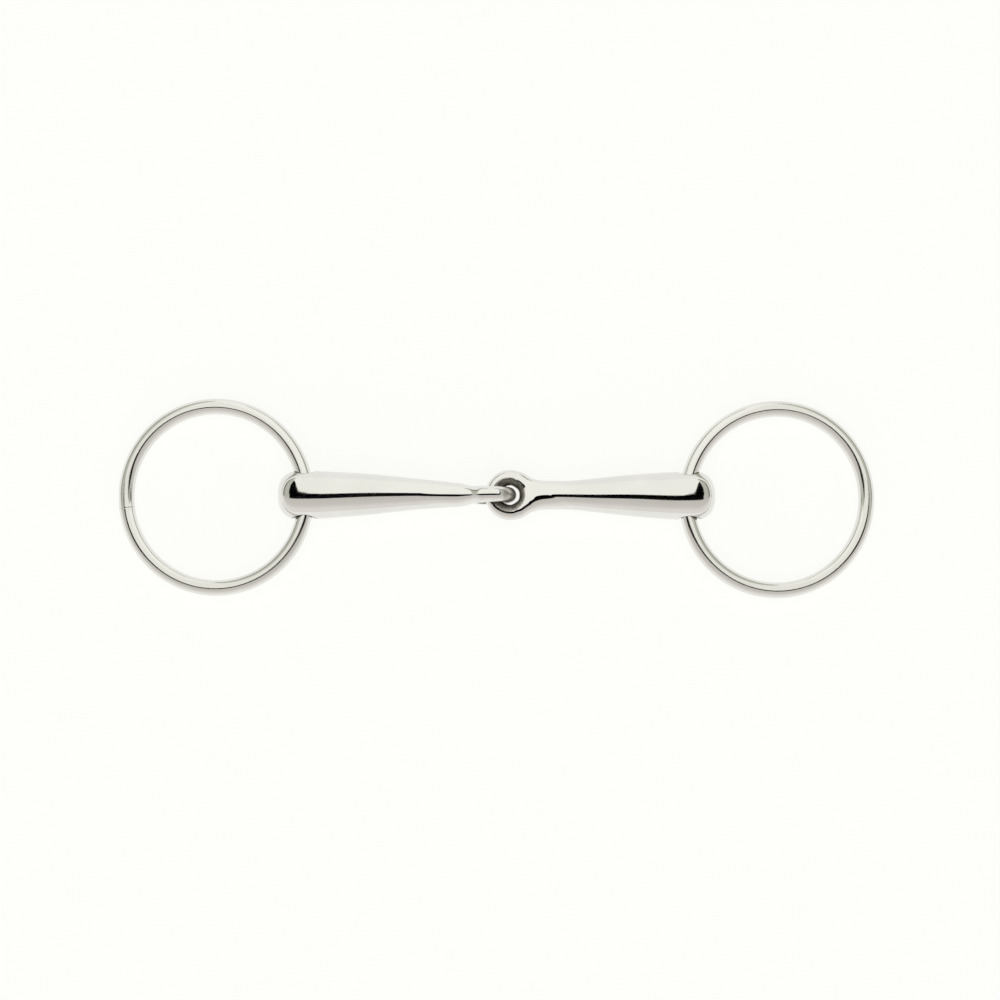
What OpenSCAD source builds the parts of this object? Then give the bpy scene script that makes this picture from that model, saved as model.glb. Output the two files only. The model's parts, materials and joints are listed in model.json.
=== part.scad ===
// Loose-ring snaffle bit with a single-jointed mouthpiece. Sizes are in millimetres.
//
// X runs along the mouthpiece, Y along the holes that carry the rings, Z up from the
// surface the bit lies on. The origin is on that surface, under the middle of the bit.
// The bit lies as it does when put down: cannons in line and rolled over a little as far
// as the play in the ring holes lets them, rings fallen flat outwards.
//
// Every piece is loose: each ring runs and swings in the hole through its cannon, and
// the two cannons hook into each other by an eye at their inner ends.

/* [Rings] */
// Outside diameter of each ring
ring_diameter = 75; // [65:1:90]
// Diameter of the round wire the rings are bent from
wire_diameter = 6; // [5:0.5:7]
// How far the left ring has slipped through its hole, towards -Y
left_slip = 0.8; // [0:0.1:1.8]
// How far the right ring has slipped through its hole, towards -Y
right_slip = 1.7; // [0:0.1:1.8]
// How far the mouthpiece has rolled over between its rings, with its -Y side up
mouthpiece_roll = 4; // [0:0.5:4]

/* [Ring holes] */
// Distance between the centres of the two ring holes
hole_spacing = 146; // [120:1:165]
// Diameter of each ring hole, larger than the wire so that the curved ring can run
hole_diameter = 8; // [7.7:0.1:9]
// Radius of the rounding at both mouths of each ring hole
mouth_rounding = 1.1; // [0.5:0.1:1.5]

/* [Cannons] */
// Largest diameter of a cannon, beside its ring
cannon_diameter = 18.4; // [14:0.2:22]
// Diameter of a cannon's neck, just before its eye
neck_diameter = 9.2; // [8:0.1:11]
// Length of cannon outboard of the ring hole's centre
tip_length = 10; // [9:0.5:13]
// Length of the rounded end, from its tip to the full diameter
dome_length = 8.6; // [6:0.2:9]
// Squareness of the rounded end's outline, where 2 is elliptical and more is blunter
dome_squareness = 2.5; // [2:0.1:3]
// How far inboard of the ring hole's centre the cannon keeps its full diameter
belly_length = 3.5; // [2:0.5:8]
// Share of the taper's outline that eases in and out, where 0 is a straight cone
taper_ease = 0.35; // [0:0.05:1]
// Fullness of the taper, where 1 is even and more keeps it thick further inboard
taper_fullness = 1.12; // [1:0.02:1.4]

/* [Central link] */
// How far the link sits to the right of the middle, because the left cannon is longer
link_offset = 1.6; // [0:0.1:3]
// Diameter of the bar that each eye is made of
bar_diameter = 5.9; // [5:0.1:6.5]
// Outside diameter of each eye
eye_diameter = 19.2; // [18:0.1:21]
// Gap between the two bars where they hook round each other
link_gap = 0.25; // [0.1:0.05:0.5]
// Radius of the hollow curve that blends each side of an eye into its neck
shoulder_radius = 20; // [12:1:30]
// Distance of the bars' centre lines from the axis, where they run on into the neck
shoulder_rise = 2.5; // [2:0.1:3]

/* [View] */
// Which piece to make

/* [Hidden] */
$fn = 96;

steel = [0.80, 0.79, 0.77];
steel_ring = [0.84, 0.83, 0.81];

wire_r = wire_diameter / 2;
ring_mean = ring_diameter / 2 - wire_r;
hole_r = hole_diameter / 2;
cannon_r = cannon_diameter / 2;
neck_r = neck_diameter / 2;
bar_r = bar_diameter / 2;
eye_mean = eye_diameter / 2 - bar_r;
// The sides of an eye are a hair slimmer than its ring, so they end inside it
side_r = bar_r - 0.05;

// Half the length of a ring hole that is straight, between its rounded mouths
straight_half = cannon_r - mouth_rounding;

// The mouthpiece rests on the eye that stands upright
axis_z = eye_diameter / 2;
// Puts the origin under the middle of the bit, whose rings have slipped towards -Y
axis_y = (left_slip + right_slip) / 2;
left_hole_x = -hole_spacing / 2;
right_hole_x = hole_spacing / 2;

// Distance from the link's middle to the centre of each hooked bar
bar_reach = (bar_diameter + link_gap) / 2;
left_reach = link_offset + bar_reach - left_hole_x;
right_reach = right_hole_x - link_offset + bar_reach;

// Steps along the rounded end and along the taper of a cannon's outline
dome_steps = 20;
taper_steps = 24;
nose_steps = 8;
// The neck runs on into its eye and ends, rounded, short of the eye's hole
nose_start = eye_mean + 1.6;
nose_end = eye_mean - bar_r + 0.5;

// Half the depth of the ring's curve within its hole, so that it lies midway in it
function ring_inset(slip) =
    pow(straight_half + mouth_rounding / 2 + slip, 2) / (4 * ring_mean);

// Angle a fallen ring leans, with its outer side on the surface
function ring_lean(slip) = asin((axis_z - wire_r) / (2 * ring_mean - ring_inset(slip)));

// Share of the full radius at u of the way along the rounded end
function dome_share(u) = pow(1 - pow(1 - u, dome_squareness), 1 / dome_squareness);

// Share of the taper still to go at t of the way along it
function taper_share(t) = (1 - taper_ease) * (1 - t) + taper_ease * (1 + cos(180 * t)) / 2;

// Radius at u of the way along the neck's rounded nose
function nose_radius(u) = neck_r * sqrt(1 - pow(0.9 * u, 2));

// Outline of a cannon from its tip to its nose: [radius, distance inboard of the hole]
function cannon_outline(eye_x) =
    let (
        taper_length = eye_x - nose_start - belly_length - 4
    )
    concat(
        [[0, -tip_length]],
        [for (i = [1 : dome_steps])
            let (u = pow(i / dome_steps, 1.6))
            [cannon_r * dome_share(u), -tip_length + dome_length * u]],
        [for (i = [0 : taper_steps])
            let (t = i / taper_steps)
            [neck_r + (cannon_r - neck_r) * taper_share(pow(t, taper_fullness)),
             belly_length + taper_length * t]],
        [for (i = [0 : nose_steps])
            let (u = sin(90 * i / nose_steps))
            [nose_radius(u), eye_x - nose_start + (nose_start - nose_end) * u]],
        [[0, eye_x - nose_end]]
    );

// The solid cannon before its hole, along +X from the ring hole's centre
module cannon_body(eye_x) {
    rotate([90, 0, 90])
        rotate_extrude()
            polygon(cannon_outline(eye_x));
}

// The straight hole through a cannon along Y, with both mouths rounded
module ring_hole() {
    rotate([90, 0, 0]) {
        cylinder(h = 3 * cannon_r, r = hole_r, center = true);
        for (side = [0, 1])
            mirror([0, 0, side])
                translate([0, 0, straight_half])
                    hole_mouth();
    }
}

// What a rounded mouth takes away: a trumpet that flares out by the rounding's radius
module hole_mouth() {
    flare = hole_r + mouth_rounding;
    rotate_extrude()
        difference() {
            square([flare, 2 * mouth_rounding]);
            translate([flare, 0])
                circle(r = mouth_rounding);
        }
}

// One side of an eye, running on from its ring by a hollow curve into the neck, towards -X
module eye_side() {
    curve_y = shoulder_rise + shoulder_radius;
    curve_x = sqrt(pow(eye_mean + shoulder_radius, 2) - pow(curve_y, 2));
    turn = atan2(curve_x, curve_y);
    translate([-curve_x, curve_y, 0])
        rotate([0, 0, -90])
            rotate_extrude(angle = turn)
                translate([shoulder_radius, 0])
                    circle(r = side_r);
    translate([-curve_x, shoulder_rise, 0])
        rotate([0, -90, 0])
            cylinder(h = 2 * eye_mean, r = side_r);
}

// An eye in the XY plane, centred on the origin, whose neck comes in from -X
module eye() {
    rotate_extrude()
        translate([eye_mean, 0])
            circle(r = bar_r);
    for (side = [0, 1])
        mirror([0, side, 0])
            eye_side();
}

// A whole cannon along +X from its ring hole. reach is the distance from the hole's centre
// to the eye's far bar, and roll turns the eye about the cannon's axis.
module cannon(reach, roll) {
    eye_x = reach - eye_mean;
    difference() {
        cannon_body(eye_x);
        ring_hole();
    }
    translate([eye_x, 0, 0])
        rotate([roll, 0, 0])
            eye();
}

// A ring that leaves its hole towards -X, leaning down to the surface
module ring(slip) {
    rotate([0, -ring_lean(slip), 0])
        translate([ring_inset(slip) - ring_mean, -slip, 0])
            rotate_extrude($fn = 180)
                translate([ring_mean, 0])
                    circle(r = wire_r);
}

// The cannon whose eye stands upright
module left_cannon() {
    color(steel)
        translate([left_hole_x, axis_y, axis_z])
            rotate([-mouthpiece_roll, 0, 0])
                cannon(left_reach, 90);
}

// The cannon whose eye lies flat, hooked through the upright one
module right_cannon() {
    color(steel)
        translate([right_hole_x, axis_y, axis_z])
            rotate([-mouthpiece_roll, 0, 0])
                mirror([1, 0, 0])
                    cannon(right_reach, 0);
}

module left_ring() {
    color(steel_ring)
        translate([left_hole_x, axis_y, axis_z])
            ring(left_slip);
}

module right_ring() {
    color(steel_ring)
        translate([right_hole_x, axis_y, axis_z])
            mirror([1, 0, 0])
                ring(right_slip);
}

left_cannon();
right_cannon();
left_ring();
right_ring();
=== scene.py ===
import json
import math

import bmesh
import bpy
import numpy as np
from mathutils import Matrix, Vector


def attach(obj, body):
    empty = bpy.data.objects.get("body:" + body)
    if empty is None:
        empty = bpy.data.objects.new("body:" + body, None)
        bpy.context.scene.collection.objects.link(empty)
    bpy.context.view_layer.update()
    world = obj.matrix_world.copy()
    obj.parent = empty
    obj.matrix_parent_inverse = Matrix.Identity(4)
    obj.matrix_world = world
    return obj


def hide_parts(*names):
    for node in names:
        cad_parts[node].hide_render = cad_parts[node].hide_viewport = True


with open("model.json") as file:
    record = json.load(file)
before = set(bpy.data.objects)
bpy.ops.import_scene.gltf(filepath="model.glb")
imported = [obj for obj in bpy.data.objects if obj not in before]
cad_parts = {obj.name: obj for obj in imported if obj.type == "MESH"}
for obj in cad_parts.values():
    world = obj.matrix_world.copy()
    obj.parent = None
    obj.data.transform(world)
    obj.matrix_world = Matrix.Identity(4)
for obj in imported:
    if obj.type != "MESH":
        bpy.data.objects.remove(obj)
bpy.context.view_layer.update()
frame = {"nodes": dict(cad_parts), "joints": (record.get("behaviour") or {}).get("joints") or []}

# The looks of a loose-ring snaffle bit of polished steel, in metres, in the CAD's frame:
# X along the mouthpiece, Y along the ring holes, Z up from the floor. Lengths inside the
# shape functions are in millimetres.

MM = 0.001

# ---------------------------------------------------------------- sizes, in millimetres

RING_MEAN = 34.5
WIRE_R = 3.0
HOLE_R = 4.0
MOUTH_ROUNDING = 1.1
CANNON_R = 9.2
NECK_R = 4.6
TIP_LENGTH = 10.0
DOME_LENGTH = 8.6
DOME_SQUARENESS = 2.5
BELLY_LENGTH = 3.5
TAPER_EASE = 0.35
TAPER_FULLNESS = 1.12
BAR_R = 2.95
SIDE_R = 2.9
LINK_GAP = 0.25
EYE_MEAN = 6.65
SHOULDER_RADIUS = 20.0
SHOULDER_RISE = 2.5
SLIP = {"left": 0.8, "right": 1.7}

# Distance from the eye's centre at which the taper ends, and how far to either side of a
# point the taper's radius is averaged
TAPER_END = 12.25
TAPER_SOFTNESS = 5.0
# Distance from the eye's centre at which the neck starts to round off, and how far it takes
NOSE_START = 18.0
NOSE_LENGTH = 12.0
# The neck forks into the eye's sides: distance from the eye's centre at which that starts,
# how far it takes, and how much thicker each side is at the fork than at the eye
FORK_START = 22.0
FORK_LENGTH = 13.0
FORK_EXTRA = 1.0
# Fillets between the eye's two sides, and between eye and neck: outboard of the fork and at
# the eye. Then the one between the eye's hoop and its sides.
SIDES_FILLET = (0.05, 2.25)
NECK_FILLET = (0.4, 2.0)
HOOP_FILLET = 0.9
# How far each eye is twisted about the cannon's length, in degrees
EYE_TWIST = {"left": 0.0, "right": 5.0}
# Where each cannon is ground slightly oval: height, distance inboard of the hole, spread
OVAL = {"left": (0.14, 34.0, 18.0), "right": (-0.20, 4.0, 18.0)}
# Where each cannon is bent slightly towards +y: height, distance inboard, spread
BOW = {"left": (0.45, 36.0, 20.0), "right": (-0.30, 4.0, 18.0)}
# Hand finishing fades out close to a cannon's axis, and before its eye: the distance from the
# eye's centre at which it is gone, and how far it takes to fade
NEAR_AXIS = 4.0
FADE_END = 8.0
FADE_LENGTH = 12.0
# Waves that polishing leaves along a cannon: height, radians for each mm, starting angle. Then
# the direction, in y and z, that the long one leans to.
LONG_WAVE = (0.06, 0.115, 0.6)
SHORT_WAVE = (0.03, 0.21, 1.9)
LONG_WAVE_TO = (0.76, 0.64)
# Butt weld of a ring: depth and half-width of its seam, height and half-width of its bead,
# and half the angle round the ring over which its mesh is finer
SEAM = (0.025, 0.22)
BEAD = (0.02, 1.1)
FINE_ANGLE = 0.03
# Where round each ring its weld lies, as an angle from the outboard side
WELD = {"left": -0.117, "right": math.pi}
# Rough places in the ring hole and in the eye, which are also painted dark as shade: over what
# length each fades out at its rim
BORE_FADE = 0.3
EYE_FADE = 0.5
# The eye's one: how far it is shifted inboard, the radius inside which the other eye rubs it,
# over what length that fades, and how much of the roughness and painted shade the rubbed part
# keeps
EYE_SHIFT = 0.8
RUBBED_R = 4.3
RUBBED_FADE = 0.6
RUBBED_SHARE = 0.5
# The end of the left eye: how far from the eye's centre it starts to be rough and painted with
# shade, and how much
EYE_END = 4.0
EYE_END_SHARE = 0.55
# Side of a square in the even mesh over a cannon, how far a round of relaxing moves its points
# towards their neighbours' middle, and the least squared slope that settling reckons with
MESH_STEP = 0.42
RELAX_SHARE = 0.6
LEAST_SQUARED_SLOPE = 0.05

hinges = {j["name"]: np.array(j["pos_m"]) / MM for j in frame["joints"]}
# The cannons lie rolled over in their rings, by the angle of their hole's axis
hole_axis = next(j["axis"] for j in frame["joints"] if j["name"] == "left_ring_swing")
ROLL = math.atan2(hole_axis[2], hole_axis[1])
LEFT_HOLE = hinges["left_ring_swing"]
RIGHT_HOLE = hinges["right_ring_swing"]
FLAT_BAR_X = hinges["centre_fold"][0]
UPRIGHT_BAR_X = FLAT_BAR_X + 2 * BAR_R + LINK_GAP
REACH = {
    "left": UPRIGHT_BAR_X - LEFT_HOLE[0],
    "right": RIGHT_HOLE[0] - FLAT_BAR_X,
}


# ---------------------------------------------------------------- shape functions


def rounded_union(a, b, r):
    """Distance to both shapes together, with a hollow fillet of radius r where they meet."""
    near = np.hypot(np.maximum(r - a, 0), np.maximum(r - b, 0))
    return np.maximum(r, np.minimum(a, b)) - near


def rounded_cut(a, tool, r):
    """Distance to shape a less the tool, with the rim rounded to radius r."""
    near = np.hypot(np.maximum(r + a, 0), np.maximum(r - tool, 0))
    return np.minimum(-r, np.maximum(a, -tool)) + near


def taper_radius(x, eye_x):
    """Radius of a cannon's taper, x mm inboard of its ring hole."""
    length = eye_x - TAPER_END - BELLY_LENGTH
    t = np.clip((x - BELLY_LENGTH) / length, 0, 1) ** TAPER_FULLNESS
    share = (1 - TAPER_EASE) * (1 - t) + TAPER_EASE * (1 + np.cos(np.pi * t)) / 2
    return NECK_R + (CANNON_R - NECK_R) * share


def soft_taper_radius(x, eye_x):
    """The taper's radius averaged over a short length, so its outline has no corner."""
    offsets = np.linspace(-TAPER_SOFTNESS, TAPER_SOFTNESS, 11)
    weights = np.cos(offsets * np.pi / (2 * TAPER_SOFTNESS + 2))
    total = sum(w * taper_radius(x + d, eye_x) for d, w in zip(offsets, weights))
    return total / weights.sum()


def eased(t):
    """A share from 0 to 1 that starts and stops gently."""
    t = np.clip(t, 0, 1)
    return t * t * (3 - 2 * t)


def body_field(x, y, z, eye_x):
    """Distance to a cannon without its hole and eye, rounded at both ends."""
    rho = np.hypot(y, z)
    dome_x = DOME_LENGTH - TIP_LENGTH
    depth = np.maximum(dome_x - x, 0) / DOME_LENGTH
    n = DOME_SQUARENESS
    dome = ((depth**n + (rho / CANNON_R) ** n) ** (1 / n) - 1) * CANNON_R
    radius = soft_taper_radius(x, eye_x)
    side = rho - radius
    nose_x = eye_x - NOSE_START
    beyond = np.maximum(x - nose_x, 0) / NOSE_LENGTH
    nose = (np.hypot(beyond, rho / radius) - 1) * radius
    return np.where(x < dome_x, dome, np.where(x < nose_x, side, nose))


def eye_side_field(x, y, z):
    """Distance to the bar that leads from an eye's +y side into the neck, towards -x.

    Its outer edge is a circular arc, and it thickens inwards from the eye to the fork.
    """
    centre_y = SHOULDER_RISE + SHOULDER_RADIUS
    centre_x = -math.sqrt((EYE_MEAN + SHOULDER_RADIUS) ** 2 - centre_y**2)
    turn = math.atan2(-centre_x, centre_y)
    outer = SHOULDER_RADIUS - SIDE_R
    angle = np.clip(np.arctan2(x - centre_x, centre_y - y), 0, turn)
    thick = SIDE_R + FORK_EXTRA * (1 - eased(angle / turn))
    on_x = centre_x + (outer + thick) * np.sin(angle)
    on_y = centre_y - (outer + thick) * np.cos(angle)
    straight = x < centre_x
    on_x = np.where(straight, np.maximum(x, centre_x - 2 * EYE_MEAN), on_x)
    return np.sqrt((x - on_x) ** 2 + (y - on_y) ** 2 + z**2) - thick


def eye_field(x, y, z, fillet):
    """Distance to an eye in the xy plane about the origin, with both its sides."""
    hoop = np.hypot(np.hypot(x, y) - EYE_MEAN, z) - BAR_R
    sides = rounded_union(eye_side_field(x, y, z), eye_side_field(x, -y, z), fillet)
    return rounded_union(hoop, sides, HOOP_FILLET)


def hand_finish(x, y, z, side):
    """How far hand grinding and polishing have left the surface from its true shape."""
    rho = np.maximum(np.hypot(y, z), NEAR_AXIS)
    y, z = y / rho, z / rho
    height, place, spread = OVAL[side]
    oval = height * np.exp(-(((x - place) / spread) ** 2)) * 2 * y * z
    height, rate, start = LONG_WAVE
    long_wave = height * np.sin(rate * x + start) * (LONG_WAVE_TO[0] * y + LONG_WAVE_TO[1] * z)
    height, rate, start = SHORT_WAVE
    phase = rate * x + start
    short_wave = height * (np.sin(phase) * (y**2 - z**2) + np.cos(phase) * 2 * y * z)
    return long_wave + short_wave + oval


def cannon_field(points, side):
    """Distance to a whole cannon. x runs inboard from the ring hole, y along the hole."""
    x, y, z = points.T
    eye_x = REACH[side] - EYE_MEAN
    fork = eased((x - eye_x + FORK_START) / FORK_LENGTH)
    twist = math.radians(EYE_TWIST[side]) * fork
    turned_y = y * np.cos(twist) - z * np.sin(twist)
    turned_z = y * np.sin(twist) + z * np.cos(twist)
    across, above = (turned_z, turned_y) if side == "left" else (turned_y, turned_z)
    sides_fillet = SIDES_FILLET[0] + (SIDES_FILLET[1] - SIDES_FILLET[0]) * fork
    neck_fillet = NECK_FILLET[0] + (NECK_FILLET[1] - NECK_FILLET[0]) * fork
    eye = eye_field(x - eye_x, across, above, sides_fillet)
    height, place, spread = BOW[side]
    bow = height * np.exp(-(((x - place) / spread) ** 2))
    body = body_field(x, y - bow, z, eye_x)
    finished = np.clip((eye_x - FADE_END - x) / FADE_LENGTH, 0, 1)
    body = body - hand_finish(x, y, z, side) * finished
    whole = rounded_union(body, eye, neck_fillet)
    return rounded_cut(whole, np.hypot(x, z) - HOLE_R, MOUTH_ROUNDING)


def slope(field, points, step=0.01):
    """The field's gradient at each point."""
    rows = []
    for axis in range(3):
        shift = np.zeros(3)
        shift[axis] = step
        rows.append((field(points + shift) - field(points - shift)) / (2 * step))
    return np.stack(rows, axis=1)


def settled(points, field, rounds):
    """The points moved onto the field's surface."""
    for _ in range(rounds):
        gradient = slope(field, points)
        squared = np.maximum((gradient**2).sum(axis=1), LEAST_SQUARED_SLOPE)
        points = points - gradient * (field(points) / squared)[:, None]
    return points


def relaxed(points, edges, field, rounds):
    """The points spread evenly over the surface, sliding along it and never off it."""
    count = np.bincount(edges.ravel(), minlength=len(points))[:, None]
    for _ in range(rounds):
        total = np.zeros_like(points)
        np.add.at(total, edges[:, 0], points[edges[:, 1]])
        np.add.at(total, edges[:, 1], points[edges[:, 0]])
        normal = slope(field, points)
        normal /= np.maximum(np.linalg.norm(normal, axis=1), 1e-9)[:, None]
        move = total / count - points
        move -= normal * (move * normal).sum(axis=1)[:, None]
        points = settled(points + RELAX_SHARE * move, field, 1)
    return points


# ---------------------------------------------------------------- mesh helpers


def link(name, mesh):
    """A new object of the mesh, in the scene."""
    piece = bpy.data.objects.new(name, mesh)
    bpy.context.scene.collection.objects.link(piece)
    return piece


def smooth(mesh):
    """Smooth shading over the whole mesh."""
    mesh.polygons.foreach_set("use_smooth", [True] * len(mesh.polygons))


def coordinates(mesh):
    """The mesh's points, in millimetres."""
    flat = np.zeros(len(mesh.vertices) * 3)
    mesh.vertices.foreach_get("co", flat)
    return flat.reshape(-1, 3) / MM


def edge_pairs(mesh):
    """The mesh's edges as pairs of point numbers."""
    flat = np.zeros(len(mesh.edges) * 2, np.int64)
    mesh.edges.foreach_get("vertices", flat)
    return flat.reshape(-1, 2)


def point_values(mesh, name, values):
    """A number for each point, for a material to read."""
    made = mesh.attributes.new(name, "FLOAT", "POINT")
    made.data.foreach_set("value", np.asarray(values, np.float32))


def even_mesh(node, voxel):
    """An even quad mesh over a CAD node's surface, as a base for its finished shape."""
    source = bmesh.new()
    source.from_mesh(frame["nodes"][node].data)
    bmesh.ops.remove_doubles(source, verts=source.verts, dist=1e-6)
    welded = bpy.data.meshes.new(node + "_welded")
    source.to_mesh(welded)
    source.free()
    holder = link(node + "_holder", welded)
    remesh = holder.modifiers.new("remesh", "REMESH")
    remesh.mode = "VOXEL"
    remesh.voxel_size = voxel
    view = bpy.context.evaluated_depsgraph_get()
    made = bpy.data.meshes.new_from_object(holder.evaluated_get(view))
    bpy.data.objects.remove(holder)
    bpy.data.meshes.remove(welded)
    made.materials.clear()
    return made


# ---------------------------------------------------------------- the cannons


def rough_and_shaded_places(points, side):
    """How rough the steel is left, and how dark with painted shade: in the ring hole and the
    eye.

    The eye's inside is roughest and most shaded away from its narrowest part, which the other
    eye rubs.
    On the left eye's end, the part that shows inside the right eye is rough and shaded too.
    """
    x, y, z = points.T
    eye_x = REACH[side] - EYE_MEAN
    in_bore = np.clip((HOLE_R + MOUTH_ROUNDING - np.hypot(x, z)) / BORE_FADE, 0, 1)
    from_eye = np.hypot(x - eye_x - EYE_SHIFT, z if side == "left" else y)
    in_eye = np.clip((EYE_MEAN - from_eye) / EYE_FADE, 0, 1)
    unrubbed = np.clip((from_eye - RUBBED_R) / RUBBED_FADE, 0, 1)
    in_eye *= RUBBED_SHARE + (1 - RUBBED_SHARE) * unrubbed
    if side == "left":
        in_eye = np.maximum(in_eye, EYE_END_SHARE * np.clip(x - eye_x - EYE_END, 0, 1))
    return in_bore, in_eye


def make_cannon(side):
    """A cannon with its eye, finished over its CAD node."""
    hole, inboard = (LEFT_HOLE, 1) if side == "left" else (RIGHT_HOLE, -1)
    flip = np.array([inboard, 1, 1])
    cos, sin = math.cos(ROLL), math.sin(ROLL)
    roll = np.array([[1, 0, 0], [0, cos, -sin], [0, sin, cos]])

    def field(points):
        return cannon_field(points, side)

    mesh = even_mesh(side + "_cannon", MESH_STEP * MM)
    points = settled(((coordinates(mesh) - hole) * flip) @ roll, field, 4)
    points = relaxed(points, edge_pairs(mesh), field, 8)
    points = settled(points, field, 3)
    normals = (slope(field, points) @ roll.T) * flip
    normals /= np.linalg.norm(normals, axis=1)[:, None]
    placed = ((points @ roll.T) * flip + hole) * MM
    mesh.vertices.foreach_set("co", placed.astype(np.float32).ravel())
    mesh.update()
    smooth(mesh)
    mesh.normals_split_custom_set_from_vertices(normals.tolist())

    # The hole and the eye: rough, and darkened in the steel's colour as painted shade
    in_bore, in_eye = rough_and_shaded_places(points, side)
    point_values(mesh, "in_bore", in_bore)
    point_values(mesh, "in_eye", in_eye)
    return link(side + "_cannon_polished", mesh)


# ---------------------------------------------------------------- the rings


def ring_angles(weld):
    """Steps round a ring, finer across its weld."""
    even = np.linspace(0, 2 * math.pi, 400, endpoint=False)
    fine = weld + np.linspace(-FINE_ANGLE, FINE_ANGLE, 41)
    from_weld = np.abs((even - weld + math.pi) % (2 * math.pi) - math.pi)
    kept = even[from_weld > FINE_ANGLE + 0.001]
    return np.sort(np.concatenate([kept, fine % (2 * math.pi)]))


def make_ring(side):
    """A ring of round wire, butt-welded shut. Gives the ring, its centre and its lean."""
    weld = WELD[side]
    hole, outboard = (LEFT_HOLE, -1) if side == "left" else (RIGHT_HOLE, 1)
    slip = SLIP[side]
    inset = (CANNON_R - MOUTH_ROUNDING / 2 + slip) ** 2 / (4 * RING_MEAN)
    lean = math.asin((hole[2] - WIRE_R) / (2 * RING_MEAN - inset))
    angles = ring_angles(weld)
    turns = np.linspace(0, 2 * math.pi, 48, endpoint=False)
    a, t = np.meshgrid(angles, turns, indexing="ij")
    along = ((a - weld + math.pi) % (2 * math.pi) - math.pi) * RING_MEAN
    seam = np.exp(-((along / SEAM[1]) ** 2))
    bead = np.exp(-((along / BEAD[1]) ** 2))
    wire = WIRE_R - SEAM[0] * seam + BEAD[0] * bead
    from_centre = RING_MEAN + wire * np.cos(t)
    out = RING_MEAN - inset + from_centre * np.cos(a)
    up = wire * np.sin(t)
    x = hole[0] + outboard * (out * math.cos(lean) + up * math.sin(lean))
    y = hole[1] - slip + from_centre * np.sin(a)
    z = hole[2] - out * math.sin(lean) + up * math.cos(lean)
    points = np.stack([x, y, z], axis=-1).reshape(-1, 3) * MM

    rows, columns = a.shape
    faces = []
    for i in range(rows):
        for j in range(columns):
            here = i * columns
            ahead = (i + 1) % rows * columns
            beside = (j + 1) % columns
            face = (here + j, ahead + j, ahead + beside, here + beside)
            faces.append(face if outboard > 0 else face[::-1])
    mesh = bpy.data.meshes.new(side + "_ring_polished")
    mesh.from_pydata(points.tolist(), [], faces)
    mesh.update()
    smooth(mesh)
    point_values(mesh, "weld", seam.ravel())
    piece = link(side + "_ring_polished", mesh)
    centre = Vector((hole[0] + outboard * (RING_MEAN - inset) * math.cos(lean),
                     hole[1] - slip,
                     hole[2] - (RING_MEAN - inset) * math.sin(lean))) * MM
    return piece, centre, outboard * lean


# ---------------------------------------------------------------- materials


# Colours of clean steel, of steel in a polishing line and under a smudge, of the unpolished
# surface that casting leaves, darkened as painted shade for the hole and the eye, and of a weld
STEEL = (0.80, 0.79, 0.77, 1)
STEEL_LINED = (0.62, 0.61, 0.59, 1)
STEEL_SMUDGED = (0.764, 0.75445, 0.73535, 1)
SHADED_CAST_DARK = (0.10, 0.095, 0.08, 1)
SHADED_CAST_PALE = (0.42, 0.41, 0.37, 1)
WELD_TINT = (0.30, 0.27, 0.22, 1)
# How rough clean and smudged steel are, and what a polishing line, a dull place and a weld add
CLEAN_ROUGHNESS = 0.055
SMUDGED_ROUGHNESS = 0.12
LINE_ROUGHNESS = 0.10
DULL_ROUGHNESS = 0.26
WELD_ROUGHNESS = 0.15
# How much of a weld's colour shows
WELD_SHARE = 0.18
# How fine smudges and pits are, in waves for each metre, and how deep lines and pits are
SMUDGE_SCALE = 55.0
PIT_SCALE = 2600.0
LINE_DEPTH = 0.0000016
PIT_DEPTH = 0.00003
# How fine the polishing lines are, in waves for each metre: across them, then along them, and
# for the rings along X and along Y
CANNON_LINES = (5200, 160)
RING_LINES = (4200.0, 110.0, 70.0)


class Nodes:
    """A short way to add and join shader nodes."""

    def __init__(self, tree):
        self.tree = tree
        tree.nodes.clear()

    def add(self, kind, inputs=None, **settings):
        node = self.tree.nodes.new(kind)
        for name, value in settings.items():
            setattr(node, name, value)
        for name, value in (inputs or {}).items():
            self.feed(node.inputs[name], value)
        return node

    def feed(self, socket, value):
        if isinstance(value, bpy.types.NodeSocket):
            self.tree.links.new(value, socket)
        else:
            socket.default_value = value

    def maths(self, operation, *values, clamp=False):
        node = self.add("ShaderNodeMath", operation=operation, use_clamp=clamp)
        for socket, value in zip(node.inputs, values):
            self.feed(socket, value)
        return node.outputs[0]

    def noise(self, vector, scale, detail=3.0, roughness=0.5):
        node = self.add(
            "ShaderNodeTexNoise",
            {"Vector": vector, "Scale": scale, "Detail": detail, "Roughness": roughness},
        )
        return node.outputs["Fac"]

    def spread(self, value, low, high, to_low, to_high):
        node = self.add(
            "ShaderNodeMapRange",
            {"Value": value, "From Min": low, "From Max": high,
             "To Min": to_low, "To Max": to_high},
            interpolation_type="SMOOTHSTEP",
        )
        return node.outputs["Result"]

    def mix(self, share, a, b):
        node = self.add("ShaderNodeMix", data_type="RGBA")
        for name, value in (("Factor", share), ("A", a), ("B", b)):
            sockets = [s for s in node.inputs if s.name == name and s.enabled]
            self.feed(sockets[0], value)
        return [s for s in node.outputs if s.enabled][0]

    def value_of(self, name):
        node = self.add("ShaderNodeAttribute", attribute_name=name)
        return node.outputs["Fac"]


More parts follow.
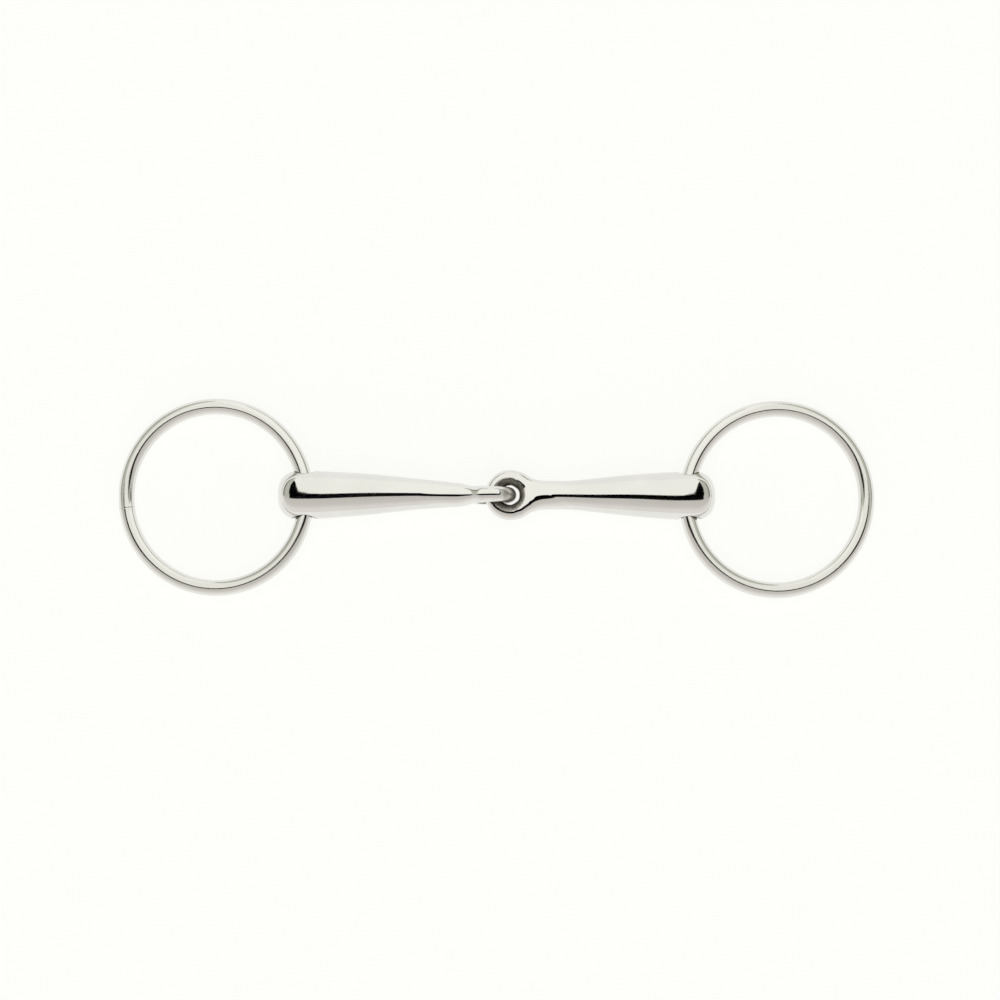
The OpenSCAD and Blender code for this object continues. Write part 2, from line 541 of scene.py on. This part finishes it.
def polished_steel(name, grain_of, dull_and_shaded_marks=(), weld=None, softness=0.0):
    """Polished stainless steel: fine polishing lines, faint smudges, and dull places painted
    dark as shade.

    grain_of(nodes) gives the coordinates that the polishing lines are stretched in.
    The third argument names point values marking places the polishing wheel doesn't reach, made
    dull and painted dark as shade; weld names the one that marks a weld. softness is extra
    roughness all over.
    """
    material = bpy.data.materials.new(name)
    material.use_nodes = True
    n = Nodes(material.node_tree)
    place = n.add("ShaderNodeTexCoord").outputs["Object"]
    grain = grain_of(n)

    smudge = n.noise(place, SMUDGE_SCALE, detail=4.0, roughness=0.6)
    lines = n.noise(grain, 1.0, detail=4.0, roughness=0.7)
    pits = n.noise(place, PIT_SCALE, detail=2.0)

    # Places the wheel misses: rough and pitted, and darkened as painted shade
    dull_and_shade = 0.0
    for mark in dull_and_shaded_marks:
        dull_and_shade = n.maths("MAXIMUM", dull_and_shade, n.value_of(mark))

    bright = n.mix(n.spread(smudge, 0.35, 0.7, 0.0, 1.0), STEEL, STEEL_SMUDGED)
    lined = n.mix(n.spread(lines, 0.62, 0.8, 0.0, 0.25), bright, STEEL_LINED)
    # Dark cast steel with a pitted grain, its darkness painted shade for the hole and the eye
    cast_and_shade = n.mix(n.spread(pits, 0.3, 0.7, 0.0, 1.0), SHADED_CAST_DARK, SHADED_CAST_PALE)
    colour = n.mix(dull_and_shade, lined, cast_and_shade)

    clean, smudged = CLEAN_ROUGHNESS + softness, SMUDGED_ROUGHNESS + softness
    roughness = n.spread(smudge, 0.3, 0.75, clean, smudged)
    roughness = n.maths("ADD", roughness, n.spread(lines, 0.55, 0.85, 0.0, LINE_ROUGHNESS))
    duller = n.maths("MULTIPLY", dull_and_shade, DULL_ROUGHNESS)
    roughness = n.maths("ADD", roughness, duller, clamp=True)

    height = n.maths("MULTIPLY", lines, LINE_DEPTH)
    dents = n.maths("MULTIPLY", pits, n.maths("MULTIPLY", dull_and_shade, PIT_DEPTH))
    height = n.maths("ADD", height, dents)
    if weld:
        seam = n.value_of(weld)
        colour = n.mix(n.maths("MULTIPLY", seam, WELD_SHARE), colour, WELD_TINT)
        rougher = n.maths("MULTIPLY", seam, WELD_ROUGHNESS)
        roughness = n.maths("ADD", roughness, rougher, clamp=True)
    bump = n.add("ShaderNodeBump", {"Height": height, "Strength": 1.0, "Distance": 1.0})
    shader = n.add(
        "ShaderNodeBsdfPrincipled",
        {"Base Color": colour, "Metallic": 1.0, "Roughness": roughness,
         "Normal": bump.outputs["Normal"]},
    )
    out = n.add("ShaderNodeOutputMaterial", {"Surface": shader.outputs["BSDF"]})
    out.is_active_output = True
    return material


def round_grain(n):
    """Polishing lines that run round the cannon: quick to change along X only."""
    place = n.add("ShaderNodeTexCoord").outputs["Object"]
    across, along = CANNON_LINES
    return n.add(
        "ShaderNodeMapping", {"Vector": place, "Scale": (across, along, along)}
    ).outputs["Vector"]


def wire_grain(centre, lean):
    """Polishing lines that run along a ring's wire, for a ring of that centre and lean."""

    def grain(n):
        place = n.add("ShaderNodeTexCoord").outputs["Object"]
        flat = n.add(
            "ShaderNodeMapping",
            {"Vector": place, "Location": centre, "Rotation": (0, lean, 0)},
            vector_type="TEXTURE",
        ).outputs["Vector"]
        parts = n.add("ShaderNodeSeparateXYZ", {"Vector": flat})
        x, y, z = (parts.outputs[k] for k in "XYZ")
        square = n.maths("ADD", n.maths("MULTIPLY", x, x), n.maths("MULTIPLY", y, y))
        radius = n.maths("SQRT", square)
        across, along_x, along_y = RING_LINES
        along = n.maths("ADD", n.maths("MULTIPLY", x, along_x), n.maths("MULTIPLY", y, along_y))
        return n.add(
            "ShaderNodeCombineXYZ",
            {"X": n.maths("MULTIPLY", radius, across),
             "Y": n.maths("MULTIPLY", z, across),
             "Z": along},
        ).outputs["Vector"]

    return grain


# ---------------------------------------------------------------- the bit

rings = []
for side in ("left", "right"):
    cannon = make_cannon(side)
    # The hole and the eye get the dull steel, darkened as painted shade
    steel = polished_steel(side + "_cannon_steel", round_grain, dull_and_shaded_marks=("in_bore", "in_eye"))
    cannon.data.materials.append(steel)
    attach(cannon, side + "_cannon")
    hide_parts(side + "_cannon")

    ring, ring_centre, ring_lean = make_ring(side)
    grain = wire_grain(ring_centre, ring_lean)
    steel = polished_steel(side + "_ring_steel", grain, weld="weld", softness=0.03)
    ring.data.materials.append(steel)
    rings.append(ring)
    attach(ring, side + "_ring")
    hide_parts(side + "_ring")


# ---------------------------------------------------------------- studio


WHITE = (1.06, 1.06, 1.0, 1)
OFF_WHITE = (0.97, 0.97, 0.90, 1)
BLACK = (0.003, 0.003, 0.003, 1)
FLOOR_PAPER = (0.18, 0.182, 0.176, 1)
FLOOR_GLOW = (0.994, 0.998, 0.968, 1)
# The tent's grey side and its ends: high up, then low down
SIDE_HIGH = (0.66, 0.64, 0.60, 1)
SIDE_LOW = (0.86, 0.83, 0.80, 1)
END_HIGH = (0.57, 0.585, 0.51, 1)
END_LOW = (0.26, 0.25, 0.20, 1)


def make_floor():
    """A plain pale floor, a hair's breadth under the bit."""
    half, drop = 6.0, 0.0002
    mesh = bpy.data.meshes.new("floor")
    corners = [(-half, -half, 0), (half, -half, 0), (half, half, 0), (-half, half, 0)]
    mesh.from_pydata(corners, [], [(0, 1, 2, 3)])
    floor = link("floor", mesh)
    floor.location.z = -drop
    material = bpy.data.materials.new("floor_paper")
    material.use_nodes = True
    n = Nodes(material.node_tree)
    shader = n.add(
        "ShaderNodeBsdfPrincipled",
        {"Base Color": FLOOR_PAPER, "Roughness": 0.9, "Specular IOR Level": 0.0,
         "Emission Color": FLOOR_GLOW, "Emission Strength": 0.857},
    )
    n.add("ShaderNodeOutputMaterial", {"Surface": shader.outputs["BSDF"]})
    mesh.materials.append(material)


def make_world():
    """Studio light as a tent, open and black overhead and over to +Y.

    Its -Y side is pale grey and its ends are grey. Low down on +Y is a white strip.
    u and v say how far a direction leans to either end and to +Y, as slopes from straight up.
    """
    world = bpy.data.worlds.new("tent")
    bpy.context.scene.world = world
    world.use_nodes = True
    n = Nodes(world.node_tree)
    toward = n.add("ShaderNodeTexCoord").outputs["Generated"]
    parts = n.add("ShaderNodeSeparateXYZ", {"Vector": toward})
    x, y, z = (parts.outputs[k] for k in "XYZ")
    upward = n.maths("MAXIMUM", z, 0.0005)
    u = n.maths("ABSOLUTE", n.maths("DIVIDE", x, upward))
    v = n.maths("DIVIDE", y, upward)
    on_end = n.spread(u, 0.85, 0.89, 0.0, 1.0)
    low_on_end = n.spread(u, 3.0, 6.0, 0.0, 1.0)
    end = n.mix(low_on_end, END_HIGH, END_LOW)
    on_side = n.spread(v, -0.30, -0.33, 0.0, 1.0)
    low_on_side = n.spread(v, -0.3, -3.0, 0.0, 1.0)
    grey_side = n.mix(low_on_side, SIDE_HIGH, SIDE_LOW)
    within = n.maths("SUBTRACT", n.maths("MULTIPLY", v, 0.17), u)
    within = n.spread(within, -0.05, 0.05, 0.0, 1.0)
    on_strip = n.maths("MULTIPLY", n.spread(v, 2.9, 3.0, 0.0, 1.0), within)
    colour = n.mix(on_end, BLACK, end)
    colour = n.mix(on_side, colour, grey_side)
    colour = n.mix(on_strip, colour, WHITE)
    back = n.add("ShaderNodeBackground", {"Color": colour, "Strength": 1.0})
    n.add("ShaderNodeOutputWorld", {"Surface": back.outputs["Background"]})


def make_card(name, outline, height, glow):
    """A card over the bit that only the steel mirrors, in the colour glow. Sizes in metres."""
    mesh = bpy.data.meshes.new(name)
    mesh.from_pydata([(x, y, height) for x, y in outline], [], [list(range(len(outline)))])
    card = link(name, mesh)
    card.visible_camera = False
    card.visible_diffuse = False
    card.visible_shadow = False
    material = bpy.data.materials.new(name)
    material.use_nodes = True
    n = Nodes(material.node_tree)
    shader = n.add("ShaderNodeEmission", {"Color": glow, "Strength": 1.0})
    n.add("ShaderNodeOutputMaterial", {"Surface": shader.outputs["Emission"]})
    mesh.materials.append(material)
    return card


def make_cannon_card():
    """The white card over the cannons. Its lower edge draws the top of their black line.

    Past the cannons' tips the edge turns away, which leaves the tips their black ends.
    """
    edge = [(0.074, 0.0135), (0.082, 0.035), (0.092, 0.08)]
    edge += [(0.12, 0.21), (0.165, 0.36), (0.30, 0.80)]
    outline = edge + [(-x, y) for x, y in reversed(edge)]
    make_card("card_low", outline, 0.12, WHITE)


def make_near_cards():
    """A white and a black card close over the left cannon, seen in the eyes' steep sides."""
    height = 0.045
    outer, inner = -0.067, -0.010
    dark_side, split, white_side = -0.0082, 0.0043, 0.10
    white = [(outer, split), (inner, split), (inner, white_side), (outer, white_side)]
    black = [(outer, dark_side), (inner, dark_side), (inner, split), (outer, split)]
    make_card("card_near_white", white, height, WHITE)
    make_card("card_near_black", black, height, BLACK)


def make_ring_card(rings):
    """A far card that lights the rings alone. Its edges are slopes from straight up."""
    height = 3.0
    outline = [(u, 0.27 * u * u - 0.10) for u in np.linspace(-1.0, 1.0, 25)]
    outline += [(1.0, 5.9), (0.5, 2.95), (-0.5, 2.95), (-1.0, 5.9)]
    outline = [(u * height, v * height) for u, v in outline]
    card = make_card("card_high", outline, height, OFF_WHITE)
    lit = bpy.data.collections.new("lit_by_card_high")
    for ring in rings:
        lit.objects.link(ring)
    card.light_linking.receiver_collection = lit


def make_fill():
    """A broad soft lamp for the floor, which the steel doesn't mirror."""
    height, across = 1.9, 2.4
    lamp = bpy.data.lights.new("fill", "AREA")
    lamp.shape = "DISK"
    lamp.size = across
    lamp.energy = 20.0
    holder = bpy.data.objects.new("fill", lamp)
    holder.location = (0, 0, height)
    holder.visible_glossy = False
    holder.visible_camera = False
    bpy.context.scene.collection.objects.link(holder)


def make_camera():
    """A camera straight above. It takes in width metres at the height of the bit's axis."""
    width, distance, axis_height = 0.3795, 1.5, 0.0096
    aim_x, aim_y = 0.0013, -0.0006
    data = bpy.data.cameras.new("camera")
    data.sensor_width = 36.0
    data.lens = data.sensor_width * distance / width
    camera = bpy.data.objects.new("camera", data)
    camera.location = (aim_x, aim_y, axis_height + distance)
    bpy.context.scene.collection.objects.link(camera)
    bpy.context.scene.camera = camera


make_floor()
make_world()
make_cannon_card()
make_near_cards()
make_ring_card(rings)
make_fill()
make_camera()
bpy.context.scene.view_settings.view_transform = "Standard"
